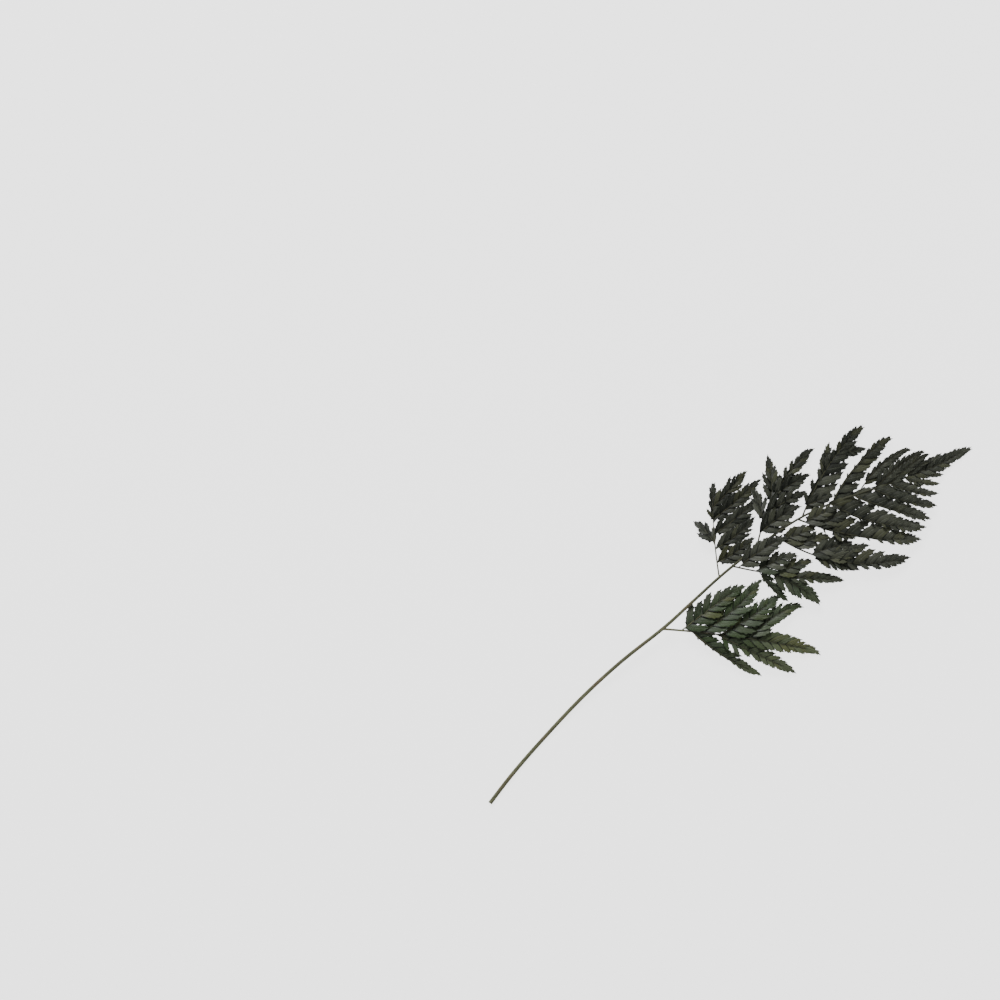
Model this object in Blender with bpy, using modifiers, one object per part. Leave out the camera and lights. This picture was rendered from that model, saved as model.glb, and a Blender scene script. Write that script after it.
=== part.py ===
"""A cut leatherleaf fern frond, lying face up: its stalk, side branches and leaflets, grown as one piece."""

import math
from collections import namedtuple

import bmesh
import bpy
from mathutils import Vector

# Driving dimensions. Plan positions are in millimetres, with the cut end at the origin and the tip on +Y.
MM = 0.001

# The stalk's run: x, y, height of its centre, radius
STALK_LINE = (
    (0.0, 0.0, 1.40, 1.75),
    (-8.0, 28.0, 1.36, 1.70),
    (-15.6, 62.0, 1.32, 1.65),
    (-24.3, 109.0, 3.2, 1.60),
    (-29.2, 153.0, 6.2, 1.55),
    (-30.8, 197.0, 9.0, 1.45),
    (-34.0, 228.0, 10.6, 1.30),
    (-37.4, 262.0, 11.6, 1.15),
    (-38.6, 300.0, 12.0, 1.00),
    (-37.2, 335.0, 11.6, 0.90),
    (-31.5, 365.0, 10.6, 0.80),
    (-23.0, 392.0, 9.0, 0.70),
    (-15.0, 416.0, 7.0, 0.60),
    (-8.2, 440.0, 4.8, 0.50),
    (-3.2, 460.0, 2.6, 0.45),
    (0.0, 485.0, 0.1, 0.40),
)
STALK_STEPS = 2
STALK_RESOLUTION = 3
STALK_END = 461.0
END_REACH = 10.0
END_FIRST = 455.0

# Side branches. Along: where the branch leaves its parent. Tip: x, y, height. Bow: to its left at mid
# length. Reach: its longest leaflet. First: where its leaflets start. Trailing: the leaflets on the side
# that faces its parent's cut end, as a share of the others. Roll: the cross slope down towards its
# parent's tip. Its own side branches are rows of the same kind.
Branch = namedtuple("Branch", "along tip bow reach first trailing roll branches", defaults=((),))
RIGHT_PINNAE = (
    Branch(199.0, (61.0, 288.0, 0.1), 2.5, 17.0, 64.0, 0.8, 0.2, (
        Branch(15.5, (-20.5, 271.0, 8.0), 0.5, 17.0, 6.0, 1.0, -0.15),
        Branch(24.0, (47.0, 238.0, 0.6), -3.0, 16.0, 4.0, 0.2, 0.2),
        Branch(31.0, (-16.0, 284.0, 6.5), -4.0, 17.5, 7.0, 1.0, -0.15),
        Branch(44.0, (62.0, 262.0, 1.5), -0.5, 18.0, 5.0, 0.6, 0.3),
        Branch(48.0, (3.5, 289.5, 4.0), -1.5, 17.0, 5.0, 0.8, -0.15),
        Branch(54.0, (18.0, 260.0, 4.0), 1.0, 9.0, 4.0, 0.8, -0.1),
        Branch(71.0, (20.5, 299.0, 2.0), 4.0, 15.0, 5.0, 1.0, -0.15),
    )),
    Branch(275.0, (25.0, 338.0, 3.5), -2.5, 14.0, 46.0, 0.6, 0.2, (
        Branch(5.0, (-31.0, 322.0, 14.5), 2.0, 16.0, 5.0, 1.0, -0.1),
        Branch(22.0, (12.0, 291.5, 7.0), -2.0, 13.0, 4.0, 0.3, 0.15),
        Branch(19.0, (-15.0, 320.0, 9.0), 1.0, 16.0, 4.0, 1.0, -0.15),
        Branch(30.0, (29.0, 312.0, 5.0), 2.0, 17.0, 5.0, 0.8, 0.25),
        Branch(36.0, (-3.0, 327.0, 5.0), 1.0, 15.0, 3.0, 0.8, -0.15),
    )),
    Branch(317.0, (42.0, 392.0, 3.0), -13.0, 20.0, 42.0, 0.5, 0.2, (
        Branch(6.0, (-24.5, 347.0, 10.0), -2.0, 16.0, 3.0, 1.0, -0.15),
        Branch(19.0, (-11.0, 350.0, 8.5), 1.0, 15.0, 3.0, 1.0, -0.15),
        Branch(33.0, (25.5, 353.0, 5.0), -1.0, 12.0, 5.0, 1.0, 0.25),
        Branch(34.0, (5.0, 362.5, 6.0), 1.0, 16.0, 3.0, 1.0, -0.15),
        Branch(48.0, (13.5, 371.0, 5.0), 0.0, 14.0, 3.0, 1.0, -0.15),
    )),
    Branch(340.0, (35.0, 408.0, 5.0), -6.0, 22.0, 20.0, 0.2, 0.25, (
        Branch(6.0, (-26.5, 369.0, 13.0), 0.0, 15.0, 2.0, 1.0, -0.15),
        Branch(15.0, (-15.0, 377.0, 8.5), 1.0, 14.0, 2.0, 1.0, -0.15),
        Branch(27.0, (3.0, 366.0, 8.5), -1.0, 13.0, 3.0, 1.0, 0.2),
    )),
    Branch(369.0, (30.0, 417.0, 6.0), -6.0, 20.0, 2.5, 0.25, 0.3),
    Branch(389.0, (27.0, 424.0, 6.0), -2.0, 18.0, 2.0, 0.2, 0.3),
    Branch(406.0, (21.0, 434.0, 5.5), -3.0, 16.0, 2.0, 0.3, 0.3),
    Branch(420.0, (14.0, 440.0, 5.0), -2.5, 14.0, 1.5, 0.3, 0.3),
    Branch(433.0, (8.0, 446.5, 4.0), -2.0, 10.5, 1.5, 0.4, 0.3),
    Branch(444.0, (4.0, 453.0, 3.0), -1.5, 8.0, 1.5, 0.5, 0.3),
)
LEFT_PINNAE = (
    Branch(261.0, (-102.0, 300.0, 0.1), 2.0, 15.0, 47.0, 0.55, 0.2, (
        Branch(12.0, (-47.0, 300.0, 9.5), -2.0, 15.0, 3.0, 1.0, -0.15),
        Branch(23.0, (-59.0, 310.0, 7.0), -2.0, 14.5, 3.0, 1.0, -0.15),
        Branch(26.0, (-86.0, 268.0, 2.0), -2.0, 15.0, 4.0, 1.0, 0.25),
        Branch(35.0, (-69.0, 322.0, 4.5), -1.0, 15.0, 3.0, 1.0, -0.15),
        Branch(47.0, (-81.0, 332.0, 2.0), -1.0, 14.5, 3.0, 1.0, -0.15),
        Branch(57.0, (-93.5, 327.0, 1.5), -1.0, 14.0, 3.0, 1.0, -0.15),
    )),
    Branch(300.0, (-76.0, 381.0, 3.0), 8.0, 16.0, 44.0, 0.6, 0.2, (
        Branch(12.0, (-45.5, 345.0, 11.0), 1.0, 17.0, 3.0, 1.0, -0.15),
        Branch(20.0, (-80.0, 322.0, 2.5), -2.0, 13.0, 4.0, 1.0, 0.25),
        Branch(28.0, (-51.0, 356.0, 8.5), 1.0, 17.0, 3.0, 1.0, -0.15),
        Branch(36.0, (-93.0, 348.0, 3.5), -2.0, 15.0, 4.0, 1.0, 0.25),
        Branch(43.0, (-60.5, 367.0, 6.0), 1.0, 15.0, 3.0, 1.0, -0.15),
    )),
    Branch(344.0, (-67.0, 425.0, 3.0), 5.0, 21.0, 10.0, 0.5, 0.25, (
        Branch(10.0, (-36.0, 372.0, 12.5), 0.0, 15.0, 2.0, 1.0, -0.15),
        Branch(36.0, (-72.0, 394.0, 3.5), -1.0, 13.0, 3.0, 1.0, 0.2),
        Branch(60.0, (-50.0, 416.0, 1.5), -1.0, 11.0, 3.0, 1.0, -0.15),
    )),
    Branch(371.0, (-46.0, 438.0, 4.5), 5.0, 19.0, 3.0, 0.2, 0.3),
    Branch(393.0, (-29.0, 444.0, 5.5), 5.0, 14.0, 12.0, 0.5, 0.3),
    Branch(408.0, (-21.0, 452.0, 8.0), 2.5, 13.0, 2.0, 0.9, 0.3),
    Branch(421.0, (-16.5, 454.0, 8.0), 2.0, 10.0, 2.0, 0.9, 0.3),
    Branch(435.0, (-10.5, 453.0, 6.5), 2.0, 7.0, 1.5, 0.8, 0.3),
)
BRANCH_STEPS = 24
BRANCH_ARCH = 0.025

# The blades: thin, and cut into leaflets that part at the rib near the base and run together towards the tip
BLADE_THICKNESS = 0.65
RIB_HALF_WIDTH = 0.8
LEAFLET_PITCH = 9.0
FULL_REACH = 15.0
LEAFLET_ANGLE = math.radians(40.0)
LEAFLET_WIDTH = 0.42
LEAFLET_ROOM = 0.37
SHORTEST_LEAFLET = 2.6
TAPER_SHARE = 0.65
TAPER_POWER = 0.68
TRAILING_EVEN = (0.5, 0.9)
FUSED_FROM = 0.3
FUSED_SHARE = 0.7
BLADE_DROOP = 0.006
LOWEST = 0.3

# The round middle stalk of a branch that bears branches: radius at foot and end, length of a straight run
COSTA_RADIUS = (0.8, 0.5)
COSTA_RUN = 9.0
COSTA_OVERLAP = 5.0

WELD = 0.001

LEAF_COLOUR = (0.035, 0.045, 0.032, 1.0)
LEAF_ROUGHNESS = 0.7


class Route:
    """A smooth line through space, read by its length in plan."""

    def __init__(self, points):
        self.points = points
        self.lengths = [0.0]
        for before, after in zip(points, points[1:]):
            self.lengths.append(self.lengths[-1] + (after - before).xy.length)
        self.length = self.lengths[-1]

    def span(self, distance):
        """The index of the run that holds a distance, and how far along the run it is."""
        index = 0
        while index < len(self.points) - 2 and self.lengths[index + 1] < distance:
            index += 1
        size = self.lengths[index + 1] - self.lengths[index]
        return index, (distance - self.lengths[index]) / size

    def at(self, distance):
        index, share = self.span(distance)
        return self.points[index].lerp(self.points[index + 1], share)

    def heading(self, distance):
        """Unit direction in plan."""
        index, _ = self.span(distance)
        return (self.points[index + 1] - self.points[index]).xy.normalized()


def left_of(heading):
    return Vector((-heading.y, heading.x))


def turned(heading, angle):
    return heading * math.cos(angle) + left_of(heading) * math.sin(angle)


def smooth_rows(rows, steps):
    """Rows of numbers on a smooth line through the given rows."""
    padded = [rows[0]] + list(rows) + [rows[-1]]
    result = []
    for a, b, c, d in zip(padded, padded[1:], padded[2:], padded[3:]):
        for step in range(steps):
            t = step / steps
            result.append([
                q + 0.5 * t * (r - p + t * (2 * p - 5 * q + 4 * r - s + t * (3 * q - p - 3 * r + s)))
                for p, q, r, s in zip(a, b, c, d)
            ])
    result.append(list(rows[-1]))
    return result


def branch_route(start, tip, bow):
    """A branch from a point on its parent to its tip, bowed to its left and slightly arched upwards."""
    chord = Vector(tip) - start
    side = left_of(chord.xy.normalized())
    arch = BRANCH_ARCH * chord.xy.length
    points = []
    for step in range(BRANCH_STEPS + 1):
        t = step / BRANCH_STEPS
        hump = 4.0 * t * (1.0 - t)
        point = start + chord * t
        point.xy += side * bow * hump
        point.z += arch * hump
        points.append(point)
    return Route(points)


def new_object(name, mesh):
    thing = bpy.data.objects.new(name, mesh)
    bpy.context.scene.collection.objects.link(thing)
    return thing


def mesh_of(thing, name, weld=0.0):
    """The object's evaluated shape as a mesh object in its place; the object itself is removed."""
    bpy.context.view_layer.update()
    depsgraph = bpy.context.evaluated_depsgraph_get()
    mesh = bpy.data.meshes.new_from_object(thing.evaluated_get(depsgraph))
    clean = bmesh.new()
    clean.from_mesh(mesh)
    if weld:
        bmesh.ops.remove_doubles(clean, verts=clean.verts, dist=weld * MM)
    bmesh.ops.recalc_face_normals(clean, faces=clean.faces)
    clean.to_mesh(mesh)
    clean.free()
    result = new_object(name, mesh)
    result.matrix_world = thing.matrix_world
    bpy.data.objects.remove(thing)
    return result


def stem(name, points, radii, resolution):
    """A closed round stem along points, as thick as the radii say."""
    curve = bpy.data.curves.new(name, "CURVE")
    curve.dimensions = "3D"
    curve.bevel_depth = MM
    curve.bevel_resolution = resolution
    curve.use_fill_caps = True
    spline = curve.splines.new("POLY")
    spline.points.add(len(points) - 1)
    for knot, point, radius in zip(spline.points, points, radii):
        knot.co = (*(point * MM), 1.0)
        knot.radius = radius
    return mesh_of(new_object(name, curve), name, WELD)


class Blade:
    """A thin blade along a route, cut into leaflets. Ahead is the side of its parent's tip, 1 for left."""

    def __init__(self, route, ahead, reach, first, trailing, roll):
        self.route = route
        self.ahead = ahead
        self.reach = reach
        self.first = first
        self.trailing = trailing
        self.roll = roll
        self.surface = bmesh.new()

    def share(self, distance):
        """How far a distance is along the leafy part, from 0 to 1."""
        return min(1.0, max(0.0, (distance - self.first) / (self.route.length - self.first)))

    def leaflet_length(self, distance, side):
        """Leaflets keep their length at first, then get shorter; trailing ones catch up near the tip."""
        share = self.share(distance)
        length = self.reach * min(1.0, (1.0 - share) / TAPER_SHARE) ** TAPER_POWER
        if side != self.ahead:
            low, high = TRAILING_EVEN
            caught_up = min(1.0, max(0.0, (share - low) / (high - low)))
            length *= self.trailing + (1.0 - self.trailing) * caught_up
        return max(SHORTEST_LEAFLET, length)

    def beside(self, distance, across):
        """A place in plan, across from the rib."""
        return self.route.at(distance).xy + left_of(self.route.heading(distance)) * across

    def point(self, distance, offset):
        """A corner of the blade, by its offset in plan from the rib."""
        place = self.route.at(distance)
        across = offset.dot(left_of(self.route.heading(distance)))
        place.xy += offset
        place.z -= self.ahead * self.roll * across + BLADE_DROOP * across * across
        place.z = max(place.z, LOWEST)
        return self.surface.verts.new(place * MM)

    def parting(self, distance, side):
        """Where two leaflets part: at the rib near the blade's foot, further out towards its tip."""
        share = self.share(distance)
        fused = max(0.0, (share - FUSED_FROM) / (1.0 - FUSED_FROM)) ** 0.7 * FUSED_SHARE
        width = RIB_HALF_WIDTH * (1.0 - 0.5 * share)
        width += fused * self.leaflet_length(distance, side) * math.sin(LEAFLET_ANGLE)
        return self.point(distance, left_of(self.route.heading(distance)) * side * width)

    def patch(self, *corners):
        """A triangle, wound so that it faces up."""
        a, b, c = [corner.co.xy for corner in corners]
        self.surface.faces.new(corners if (b - a).cross(c - a) > 0.0 else tuple(reversed(corners)))

    def leaflet(self, side, near, root, far, far_root):
        """One leaflet between two parting points of the rib."""
        middle = 0.5 * (near + far)
        length = self.leaflet_length(middle, side)
        angle = LEAFLET_ANGLE * (1.0 - 0.35 * self.share(middle))
        rib = self.route.at(middle).xy
        out = turned(self.route.heading(middle), side * angle) * length
        foot = 0.5 * (root.co.xy + far_root.co.xy) / MM - rib
        blade = out - foot
        pointing = blade.normalized()
        across = left_of(pointing) * side
        room = self.beside(far, side * 0.5 * blade.length) - self.beside(near, side * 0.5 * blade.length)
        half = min(0.5 * LEAFLET_WIDTH * length, LEAFLET_ROOM * abs(room.cross(pointing)))
        low = self.point(middle, foot + 0.45 * blade + across * half)
        high = self.point(middle, foot + 0.55 * blade - across * half)
        tip = self.point(middle, out)
        self.patch(root, low, high)
        self.patch(low, tip, high)
        self.patch(root, high, far_root)

    def stations(self):
        """Distances along the rib where leaflets part, left and right in turn, closer towards the tip."""
        scale = min(1.0, 0.5 + 0.5 * self.reach / FULL_REACH)
        places = [self.first]
        while True:
            step = 0.5 * LEAFLET_PITCH * scale * (1.0 - 0.25 * self.share(places[-1]))
            if places[-1] + 2.4 * step > self.route.length:
                return places
            places.append(places[-1] + step)

    def build(self, name, start):
        foot = [self.parting(start, 1), self.parting(start, -1)]
        edge = {1: [], -1: []}
        band = list(foot)
        side = 1
        for distance in self.stations():
            corner = self.parting(distance, side)
            band.append(corner)
            edge[side].append((distance, corner))
            side = -side
        for corners in zip(band, band[1:], band[2:]):
            self.patch(*corners)
        for side, corners in edge.items():
            for (near, root), (far, far_root) in zip(corners, corners[1:]):
                self.leaflet(side, near, root, far, far_root)
        self.patch(band[-2], band[-1], self.point(self.route.length, Vector((0.0, 0.0))))
        mesh = bpy.data.meshes.new(name)
        self.surface.to_mesh(mesh)
        self.surface.free()
        thing = new_object(name, mesh)
        solid = thing.modifiers.new("thickness", "SOLIDIFY")
        solid.thickness = BLADE_THICKNESS * MM
        solid.offset = 0.0
        return mesh_of(thing, name)


def side_ahead(parent, distance, route):
    """The side of a branch that faces its parent's tip: 1 for left, -1 for right."""
    turn = route.heading(0.0).cross(parent.heading(distance))
    return 1 if turn > 0.0 else -1


def costa(name, route, length):
    """The round middle stalk of a pinna that bears pinnules."""
    count = max(3, round(length / COSTA_RUN))
    places = [route.at(length * step / count) for step in range(count + 1)]
    thick, thin = COSTA_RADIUS
    radii = [thick + (thin - thick) * step / count for step in range(count + 1)]
    return stem(name, places, radii, 0)


def branch(name, parent, row):
    """A side branch with its blade, and with its costa and pinnules where it bears any."""
    route = branch_route(parent.at(row.along), row.tip, row.bow)
    ahead = side_ahead(parent, row.along, route)
    start = max(0.0, row.first - COSTA_OVERLAP) if row.branches else 0.0
    pieces = [Blade(route, ahead, row.reach, row.first, row.trailing, row.roll).build(name, start)]
    if row.branches:
        pieces.append(costa(name + "_costa", route, row.first + COSTA_OVERLAP))
    for number, smaller in enumerate(row.branches):
        pieces += branch(f"{name}_{number}", route, smaller)
    return pieces


def settle(thing):
    """Presses what would reach below the floor flat onto it."""
    for corner in thing.data.vertices:
        corner.co.z = max(corner.co.z, 0.0)
    return thing


def join(base, others, name):
    """Fuses the others into the base by one union over their collection, then removes them."""
    repeats = bpy.data.collections.new("repeats")
    for thing in others:
        repeats.objects.link(thing)
    union = base.modifiers.new("union", "BOOLEAN")
    union.operation = "UNION"
    union.operand_type = "COLLECTION"
    union.collection = repeats
    union.solver = "MANIFOLD"
    joined = mesh_of(base, name)
    for thing in others:
        bpy.data.objects.remove(thing)
    bpy.data.collections.remove(repeats)
    return joined


def drop_folds(shape):
    """Drops slivers, and pairs of triangles that lie back to back on the same three corners."""
    bmesh.ops.dissolve_degenerate(shape, dist=WELD * MM, edges=shape.edges[:])
    bmesh.ops.triangulate(shape, faces=shape.faces[:])
    sharing = {}
    for face in shape.faces:
        sharing.setdefault(frozenset(face.verts), []).append(face)
    folds = [face for faces in sharing.values() if len(faces) > 1 for face in faces]
    bmesh.ops.delete(shape, geom=folds, context="FACES")


def main_body(thing):
    """Keeps the largest connected body of the mesh, which drops sealed hollows and loose scraps."""
    shape = bmesh.new()
    shape.from_mesh(thing.data)
    drop_folds(shape)
    waiting = set(shape.verts)
    largest = set()
    while waiting:
        body = set()
        reached = [waiting.pop()]
        while reached:
            corner = reached.pop()
            body.add(corner)
            for line in corner.link_edges:
                other = line.other_vert(corner)
                if other in waiting:
                    waiting.remove(other)
                    reached.append(other)
        if len(body) > len(largest):
            largest = body
    scraps = [corner for corner in shape.verts if corner not in largest]
    bmesh.ops.delete(shape, geom=scraps, context="VERTS")
    shape.to_mesh(thing.data)
    shape.free()


def centre(thing):
    """Moves the mesh so that its box is centred over the origin."""
    for axis in (0, 1):
        places = [corner.co[axis] for corner in thing.data.vertices]
        middle = 0.5 * (min(places) + max(places))
        for corner in thing.data.vertices:
            corner.co[axis] -= middle


def leaf_material():
    material = bpy.data.materials.new("leaf")
    material.use_nodes = True
    surface = material.node_tree.nodes["Principled BSDF"]
    surface.inputs["Base Color"].default_value = LEAF_COLOUR
    surface.inputs["Roughness"].default_value = LEAF_ROUGHNESS
    surface.inputs["Metallic"].default_value = 0.0
    return material


def build():
    rows = smooth_rows(STALK_LINE, STALK_STEPS)
    rachis = Route([Vector(row[:3]) for row in rows])
    shown = [row for row in rows if row[1] <= STALK_END]
    stalk = stem("stalk", [Vector(row[:3]) for row in shown], [row[3] for row in shown], STALK_RESOLUTION)
    pieces = [Blade(rachis, 1, END_REACH, END_FIRST, 1.0, 0.0).build("end", END_FIRST - COSTA_OVERLAP)]
    for number, row in enumerate(RIGHT_PINNAE + LEFT_PINNAE):
        pieces += branch(f"pinna_{number}", rachis, row)
    for piece in [stalk] + pieces:
        settle(piece)
    frond = join(stalk, pieces, "frond")
    main_body(frond)
    centre(frond)
    frond.data.materials.clear()
    frond.data.materials.append(leaf_material())
    part = bpy.data.collections.new("leatherleaf_fern_frond")
    bpy.context.scene.collection.children.link(part)
    part.objects.link(frond)
    bpy.context.scene.collection.objects.unlink(frond)


for leftover in list(bpy.data.objects):
    bpy.data.objects.remove(leftover)
build()
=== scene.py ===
import math
import random
from collections import namedtuple

import bpy
from mathutils import Matrix, Vector


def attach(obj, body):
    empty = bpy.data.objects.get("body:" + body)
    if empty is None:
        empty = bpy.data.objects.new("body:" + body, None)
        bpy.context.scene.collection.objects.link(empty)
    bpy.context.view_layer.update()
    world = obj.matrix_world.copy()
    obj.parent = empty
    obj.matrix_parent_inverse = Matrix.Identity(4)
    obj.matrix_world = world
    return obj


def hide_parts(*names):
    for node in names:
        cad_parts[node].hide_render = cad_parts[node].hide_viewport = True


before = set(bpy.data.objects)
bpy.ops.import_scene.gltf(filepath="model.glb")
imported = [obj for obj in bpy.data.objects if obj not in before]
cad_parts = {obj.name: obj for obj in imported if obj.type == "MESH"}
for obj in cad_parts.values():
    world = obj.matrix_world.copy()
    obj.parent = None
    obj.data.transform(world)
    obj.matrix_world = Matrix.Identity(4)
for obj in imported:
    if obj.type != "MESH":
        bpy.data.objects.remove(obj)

bl_info = {
    "name": "Leatherleaf fern frond",
    "version": (1, 0, 0),
    "blender": (4, 5, 0),
    "location": "View3D > Sidebar > Frond",
    "description": "Stalk, ribs and toothed leaflets of a fern frond that lies flat, and a plain studio",
    "category": "Object",
}

# Plan positions are in millimetres from the stalk's cut end, with the tip on +Y. The frame has its origin
# at the centre of the frond's box instead.
MM = 0.001
TO_FRAME = Vector((20.0, -242.26))

# The stalk's run: x, y, height of its centre, radius
STALK_LINE = (
    (0.0, 0.0, 1.40, 1.75),
    (-8.0, 28.0, 1.36, 1.70),
    (-15.6, 62.0, 1.32, 1.65),
    (-24.3, 109.0, 3.2, 1.60),
    (-29.2, 153.0, 6.2, 1.55),
    (-30.8, 197.0, 9.0, 1.45),
    (-34.0, 228.0, 10.6, 1.30),
    (-37.4, 262.0, 11.6, 1.15),
    (-38.6, 300.0, 12.0, 1.00),
    (-37.2, 335.0, 11.6, 0.90),
    (-31.5, 365.0, 10.6, 0.80),
    (-23.0, 392.0, 9.0, 0.70),
    (-15.0, 416.0, 7.0, 0.60),
    (-8.2, 440.0, 4.8, 0.50),
    (-3.2, 460.0, 2.6, 0.40),
    (0.0, 485.0, 0.3, 0.25),
)

# Its steps from row to row, its sides, and the groove in the faces that look up
STALK_STEPS = 4
STALK_SIDES = 16
STALK_GROOVE = 0.14
GROOVE_FACES_UP = 0.93

# The end leaf: its longest leaflet, the share of that on its other side, and where on the stalk it starts
END_REACH = 15.0
END_TRAILING = 0.75
END_FIRST = 442.0

# Side branches. Along: where the branch leaves its parent. Tip: x, y, height. Bow: to its left at mid
# length. Reach: its longest leaflet. First: where its leaflets start. Trailing: the leaflets on the side
# that faces its parent's cut end, as a share of the others. Roll: the cross slope down towards its
# parent's tip. Its own side branches are rows of the same kind.
Branch = namedtuple("Branch", "along tip bow reach first trailing roll branches", defaults=((),))
RIGHT_PINNAE = (
    Branch(199.0, (61.0, 288.0, 0.1), 2.5, 17.0, 64.0, 0.8, 0.2, (
        Branch(15.5, (-20.5, 271.0, 8.0), 0.5, 17.0, 6.0, 1.0, -0.15),
        Branch(24.0, (47.0, 238.0, 0.6), -3.0, 16.0, 4.0, 0.2, 0.2),
        Branch(31.0, (-16.0, 284.0, 6.5), -4.0, 17.5, 7.0, 1.0, -0.15),
        Branch(44.0, (62.0, 262.0, 1.5), -0.5, 18.0, 5.0, 0.6, 0.3),
        Branch(48.0, (3.5, 289.5, 4.0), -1.5, 17.0, 5.0, 0.8, -0.15),
        Branch(54.0, (18.0, 260.0, 4.0), 1.0, 9.0, 4.0, 0.8, -0.1),
        Branch(71.0, (20.5, 299.0, 2.0), 4.0, 15.0, 5.0, 1.0, -0.15),
    )),
    Branch(275.0, (25.0, 338.0, 3.5), -2.5, 14.0, 46.0, 0.6, 0.2, (
        Branch(5.0, (-31.0, 322.0, 14.5), 2.0, 16.0, 5.0, 1.0, -0.1),
        Branch(22.0, (12.0, 291.5, 7.0), -2.0, 13.0, 4.0, 0.3, 0.15),
        Branch(19.0, (-15.0, 320.0, 9.0), 1.0, 16.0, 4.0, 1.0, -0.15),
        Branch(30.0, (29.0, 312.0, 5.0), 2.0, 17.0, 5.0, 0.8, 0.25),
        Branch(36.0, (-3.0, 327.0, 5.0), 1.0, 15.0, 3.0, 0.8, -0.15),
    )),
    Branch(317.0, (42.0, 392.0, 3.0), -13.0, 20.0, 42.0, 0.5, 0.2, (
        Branch(6.0, (-24.5, 347.0, 10.0), -2.0, 16.0, 3.0, 1.0, -0.15),
        Branch(19.0, (-11.0, 350.0, 8.5), 1.0, 15.0, 3.0, 1.0, -0.15),
        Branch(33.0, (25.5, 353.0, 5.0), -1.0, 12.0, 5.0, 1.0, 0.25),
        Branch(34.0, (5.0, 362.5, 6.0), 1.0, 16.0, 3.0, 1.0, -0.15),
        Branch(48.0, (13.5, 371.0, 5.0), 0.0, 14.0, 3.0, 1.0, -0.15),
    )),
    Branch(340.0, (35.0, 408.0, 5.0), -6.0, 22.0, 20.0, 0.2, 0.25, (
        Branch(6.0, (-26.5, 369.0, 13.0), 0.0, 15.0, 2.0, 1.0, -0.15),
        Branch(15.0, (-15.0, 377.0, 8.5), 1.0, 14.0, 2.0, 1.0, -0.15),
        Branch(27.0, (3.0, 366.0, 8.5), -1.0, 13.0, 3.0, 1.0, 0.2),
    )),
    Branch(369.0, (30.0, 417.0, 6.0), -6.0, 20.0, 2.5, 0.25, 0.3),
    Branch(389.0, (27.0, 424.0, 6.0), -2.0, 18.0, 2.0, 0.2, 0.3),
    Branch(406.0, (21.0, 434.0, 5.5), -3.0, 16.0, 2.0, 0.3, 0.3),
    Branch(420.0, (14.0, 440.0, 5.0), -2.5, 14.0, 1.5, 0.3, 0.3),
    Branch(433.0, (8.0, 446.5, 4.0), -2.0, 10.5, 1.5, 0.4, 0.3),
    Branch(444.0, (4.0, 453.0, 3.0), -1.5, 8.0, 1.5, 0.5, 0.3),
)
LEFT_PINNAE = (
    Branch(261.0, (-102.0, 300.0, 0.1), 2.0, 15.0, 47.0, 0.55, 0.2, (
        Branch(12.0, (-47.0, 300.0, 9.5), -2.0, 15.0, 3.0, 1.0, -0.15),
        Branch(23.0, (-59.0, 310.0, 7.0), -2.0, 14.5, 3.0, 1.0, -0.15),
        Branch(26.0, (-86.0, 268.0, 2.0), -2.0, 15.0, 4.0, 1.0, 0.25),
        Branch(35.0, (-69.0, 322.0, 4.5), -1.0, 15.0, 3.0, 1.0, -0.15),
        Branch(47.0, (-81.0, 332.0, 2.0), -1.0, 14.5, 3.0, 1.0, -0.15),
        Branch(57.0, (-93.5, 327.0, 1.5), -1.0, 14.0, 3.0, 1.0, -0.15),
    )),
    Branch(300.0, (-76.0, 381.0, 3.0), 8.0, 16.0, 44.0, 0.6, 0.2, (
        Branch(12.0, (-45.5, 345.0, 11.0), 1.0, 17.0, 3.0, 1.0, -0.15),
        Branch(20.0, (-80.0, 322.0, 2.5), -2.0, 13.0, 4.0, 1.0, 0.25),
        Branch(28.0, (-51.0, 356.0, 8.5), 1.0, 17.0, 3.0, 1.0, -0.15),
        Branch(36.0, (-93.0, 348.0, 3.5), -2.0, 15.0, 4.0, 1.0, 0.25),
        Branch(43.0, (-60.5, 367.0, 6.0), 1.0, 15.0, 3.0, 1.0, -0.15),
    )),
    Branch(344.0, (-67.0, 425.0, 3.0), 5.0, 21.0, 10.0, 0.5, 0.25, (
        Branch(10.0, (-36.0, 372.0, 12.5), 0.0, 15.0, 2.0, 1.0, -0.15),
        Branch(36.0, (-72.0, 394.0, 3.5), -1.0, 13.0, 3.0, 1.0, 0.2),
        Branch(60.0, (-50.0, 416.0, 1.5), -1.0, 11.0, 3.0, 1.0, -0.15),
    )),
    Branch(371.0, (-46.0, 438.0, 4.5), 5.0, 19.0, 3.0, 0.2, 0.3),
    Branch(393.0, (-29.0, 444.0, 5.5), 5.0, 14.0, 12.0, 0.5, 0.3),
    Branch(408.0, (-21.0, 452.0, 8.0), 2.5, 13.0, 2.0, 0.9, 0.3),
    Branch(421.0, (-16.5, 454.0, 8.0), 2.0, 10.0, 2.0, 0.9, 0.3),
    Branch(435.0, (-10.5, 453.0, 6.5), 2.0, 7.0, 1.5, 0.8, 0.3),
)

# The run of a branch: its steps, its arch as a share of its length, and how its leaves droop to both sides
BRANCH_STEPS = 24
BRANCH_ARCH = 0.025
BLADE_DROOP = 0.006

# Ribs: radius at the tip, radius at the foot, and what each millimetre of the branch adds at the foot
RIB_TIP_RADIUS = 0.13
RIB_FOOT_RADIUS = 0.26
RIB_GROWTH = 0.0052

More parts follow.
